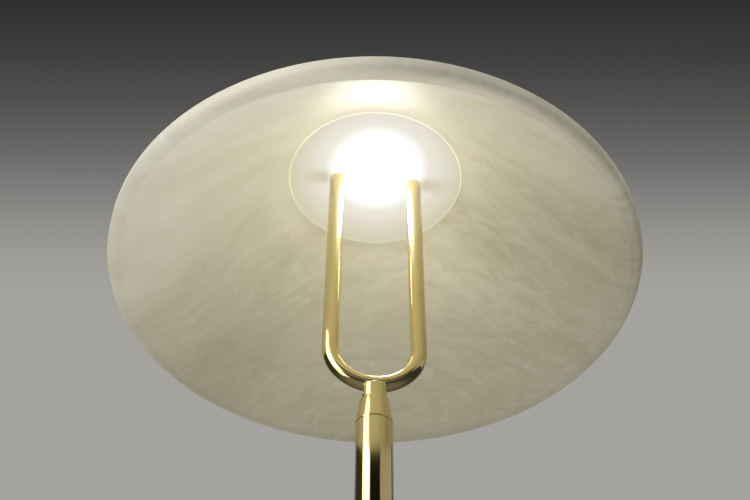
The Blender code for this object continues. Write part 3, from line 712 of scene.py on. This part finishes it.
def makeButton():
    low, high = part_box("foot_button")
    radius, post, flange = button["radius"], button["post"], high.x
    top = high.z - low.z
    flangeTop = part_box("base_cover")[1].z - base["wall"] - gap - low.z
    flangeUnder = flangeTop - button["flange"]
    outline = roundedOutline([
        (0, 0), (post, 0, button["postEdge"]), (post, flangeUnder), (flange, flangeUnder),
        (flange, flangeTop), (radius, flangeTop), (radius, top, button["edge"]), (0, top),
    ], closed=False)
    place = (0, (low.y + high.y) / 2, low.z)
    show(turned("footButton", outline, brass, 128, place, closed=False), "button", "foot_button")


def makePad():
    low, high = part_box("base_pad")
    inner = high.x - pad["width"]
    outline = roundedOutline([
        (inner, low.z, pad["round"]), (high.x, low.z, pad["outerRound"]), (high.x, high.z, pad["round"]),
        (inner, high.z),
    ])
    show(turned("feltRing", outline, felt, 192), "stand", "base_pad")


def makeInlet():
    # its outline's heights count outwards from the cover's side
    low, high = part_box("inlet_bush")
    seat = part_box("base_cover")[1].x
    out, back = high.y - seat, low.y - seat
    bore, shank, collar, mouth = inlet["bore"], inlet["shank"], inlet["collar"], inlet["mouth"]
    soft, bend = inlet["softEdge"], inlet["noseRound"]
    outline = roundedOutline([
        (bore, back), (shank, back, soft), (shank, gap), (collar, gap, soft),
        (collar, inlet["collarHeight"], bend), (inlet["nose"], out, bend),
        (mouth, out, inlet["mouthRound"]), (bore, out - inlet["mouthDepth"]),
    ])
    place = (0, seat, (low.z + high.z) / 2)
    show(turned("inletBush", outline, nylon, 64, place, axis=(0, 1, 0)), "stand", "inlet_bush")


makeBase()
makeButton()
makePad()
makeInlet()
print("base made")


crown = {
    "wall": 1.5 * mm,
    "roof": 2 * mm,
    "shoulder": 4 * mm,
    "innerShoulder": 2.4 * mm,
    "foot": 0.4 * mm,  # the rounding where it meets the shade
    "vents": 8,
    "ventWidth": 14 * mm,
    "ventHeight": 3 * mm,
    "ventLift": 8 * mm,
    "ventRound": 1.2 * mm,
    "studHole": 3.3 * mm,
    "softEdge": 0.3 * mm,
    "knobWaist": 1 * mm,
    "knobDome": 2.5 * mm,
    "knobRound": 1.2 * mm,
}


def makeCap():
    low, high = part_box("top_cap")
    radius, hole = high.x, crown["studHole"]
    inner, under = radius - crown["wall"], high.z - crown["roof"]
    outline = roundedOutline([
        (inner, low.z, crown["foot"]), (radius, low.z, crown["foot"]), (radius, high.z, crown["shoulder"]),
        (hole, high.z, crown["softEdge"]), (hole, under), (inner, under, crown["innerShoulder"]),
    ])
    cap = turned("topCap", outline, brass, 192)
    # each cutter goes right through and makes two vents
    size = Vector((3 * radius, crown["ventWidth"], crown["ventHeight"]))
    spot = (0, 0, low.z + crown["ventLift"])
    turns = [math.tau * (k + 0.5) / crown["vents"] for k in range(crown["vents"] // 2)]
    cutWith(cap, [boxCutter(size, spot, crown["ventRound"], turn) for turn in turns])
    show(cap, "cap", "top_cap")


def makeFinial():
    hole, soft = crown["studHole"], crown["softEdge"]
    low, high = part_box("finial_washer")
    outline = roundedOutline([(hole, low.z), (high.x, low.z, soft), (high.x, high.z, soft), (hole, high.z)])
    show(turned("finialWasher", outline, brass, 96), "cap", "finial_washer")

    low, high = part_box("finial")
    radius, waist, dome, bend = high.x, crown["knobWaist"], crown["knobDome"], crown["knobRound"]
    outline = roundedOutline([
        (hole, low.z), (radius - waist, low.z, 0.4 * mm), (radius, low.z + waist, 0.6 * mm),
        (radius, high.z - dome, bend), (radius - dome, high.z, bend), (0, high.z),
    ], closed=False)
    outline += [(0, high.z - dome), (hole, high.z - dome)]
    show(turned("finialKnob", outline, brass, 96), "cap", "finial")


makeCap()
makeFinial()
print("top made")


hands = ("left", "right")
finishes = {
    zinc: [
        "bottom_plate", "stem_spigot", "stem_grub_screw", "foot_spring", "fork_nut", "cap_stud",
        "led_screw_1", "led_screw_2", *(f"bottom_screw_{k}" for k in (1, 2, 3, 4)),
        *(f"spigot_screw_{k}" for k in (1, 2, 3)), *(f"prong_sleeve_{hand}" for hand in hands),
        *(f"prong_nut_{hand}" for hand in hands),
    ],
    brass: ["fork_saddle", "fork_stud", *(f"prong_stud_{hand}" for hand in hands)],
    castIron: ["base_weight"],
    nylon: ["driver", "inlet_nut", "foot_switch"],
    pvc: ["switch_lead", "stem_cable", "led_lead", *(f"prong_lead_{hand}" for hand in hands)],
    enamel: ["light_tray", "terminal_block"],
    silicone: ["shade_seat"],
    solderMask: ["led_board"],
    phosphor: ["led_emitter"],
    aluminium: ["heat_sink"],
}
for material, names in finishes.items():
    for name in names:
        mesh = nodes[name].data
        mesh.materials.clear()
        mesh.materials.append(material)


def makeSpring():
    # the same coils as the frame's, as a piece of their own with a mesh of its own; on the lamp the spring
    # shortens while the button goes down
    spring = bpy.data.objects.new("footSpring", nodes["foot_spring"].data.copy())
    bpy.context.scene.collection.objects.link(spring)
    show(spring, "stand", "foot_spring")
    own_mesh(spring)


makeSpring()
print("hidden pieces finished")


# azimuth is counted from the camera's side, towards the left of the picture
softboxes = {
    "keySoftbox": {"power": 8.5, "size": (1.35, 1.5), "azimuth": 49, "elevation": 34, "distance": 2.0},
    "sidePanel": {"power": 4.6, "size": (3.0, 1.3), "azimuth": -79, "elevation": 32, "distance": 2.2},
    "topSoftbox": {"power": 24.0, "size": (3.2, 3.2), "azimuth": 0, "elevation": 89, "distance": 2.2},
}
# two cards that show in the brass and light nothing: a tall one by the key, a slim one under the shade
cards = {
    "tallCard": {"power": 22.0, "size": (1.35, 3.2), "azimuth": 49, "elevation": 12, "distance": 2.05},
    "stripCard": {"power": 0.09, "size": (0.09, 0.15), "azimuth": 49, "elevation": 0, "distance": 0.15,
                  "height": 1.485},
}
studio = {"warm": "#fffaf3", "led": "#fff8ea", "floorSize": 80.0}


def addLight(name, shape, power, size, colour):
    data = bpy.data.lights.new(name, "AREA")
    data.shape = shape
    data.size, data.size_y = size
    data.energy = power
    data.color = hexColour(colour)
    light = bpy.data.objects.new(name, data)
    bpy.context.scene.collection.objects.link(light)
    light.visible_camera = False
    return light


def aimLight(name, power, size, azimuth, elevation, distance, height=1.3):
    # faces a point on the stem's axis
    light = addLight(name, "RECTANGLE", power, size, studio["warm"])
    turn = math.radians(azimuth)
    lift = math.radians(elevation)
    level = -ahead * math.cos(turn) - across * math.sin(turn)
    towards = level * math.cos(lift) + Vector((0, 0, math.sin(lift)))
    light.location = Vector((0, 0, height)) + towards * distance
    light.rotation_euler = (-towards).to_track_quat("-Z", "Y").to_euler()
    return light


def makeStudio():
    for name, settings in softboxes.items():
        aimLight(name, **settings)
    for name, settings in cards.items():
        aimLight(name, **settings).visible_diffuse = False
    width = 2 * glow["lampRadius"]
    lamp = addLight("ledGlow", "DISK", glow["lampPower"], (width, width), studio["led"])
    lamp.location = (0, 0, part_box("diffuser")[0].z - 0.6 * mm)

    # floated plaster: pale and matt, in patches 170 mm across
    plaster = plainMaterial("palePlaster", "#c4c3bf", "#cfcecb", 0.7, 6, depth=0.3 * mm)
    bm = bmesh.new()
    bmesh.ops.create_grid(bm, x_segments=4, y_segments=4, size=studio["floorSize"] / 2)
    floor = meshObject("studioFloor", bm, plaster)


# degrees up from level ahead of the camera, over the top, to level behind it
backdrop = [
    (0, "#a5a39f"), (42.8, "#a5a39f"), (44.2, "#a2a19d"), (45.4, "#9d9b97"), (46.7, "#93928e"),
    (48.1, "#878583"), (50.6, "#6c6a68"), (53.2, "#535250"), (55.8, "#3e3e3d"), (58.3, "#303030"),
    (64, "#222222"), (90, "#181818"), (148, "#161616"), (160, "#62615f"), (180, "#8a8884"),
]


def makeWorld():
    # a graded backdrop: even grey ahead, falling to near black overhead, and grey again low down behind
    world = bpy.data.worlds.new("gradedBackdrop")
    bpy.context.scene.world = world
    world.use_nodes = True
    tree = world.node_tree
    place = addNode(tree, "ShaderNodeTexCoord", {}).outputs["Generated"]
    parts = addNode(tree, "ShaderNodeSeparateXYZ", {0: place})
    forward = addNode(tree, "ShaderNodeVectorMath", {0: place, 1: tuple(ahead)}, operation="DOT_PRODUCT")
    angle = addNode(tree, "ShaderNodeMath", {0: parts.outputs["Z"], 1: forward.outputs["Value"]},
                    operation="ARCTAN2")
    share = addNode(tree, "ShaderNodeMapRange", {"Value": angle, "From Max": math.pi})
    ramp = addNode(tree, "ShaderNodeValToRGB", {"Fac": share})
    setRamp(ramp, [(degrees / 180, rgba(code)) for degrees, code in backdrop])
    # its two sides are plain and dim
    aside = addNode(tree, "ShaderNodeVectorMath", {0: place, 1: tuple(across)}, operation="DOT_PRODUCT")
    aside = addNode(tree, "ShaderNodeMath", {0: aside.outputs["Value"]}, operation="ABSOLUTE")
    sideways = addNode(tree, "ShaderNodeMapRange", {"Value": aside, "From Min": 0.36, "From Max": 0.70},
                       interpolation_type="SMOOTHSTEP")
    drape = addNode(tree, "ShaderNodeMix", {"Factor": sideways, 6: ramp, 7: rgba("#393836")},
                    data_type="RGBA")
    plug(tree, tree.nodes["Background"], {"Color": drape.outputs[2]})


makeStudio()
makeWorld()
print("studio made")
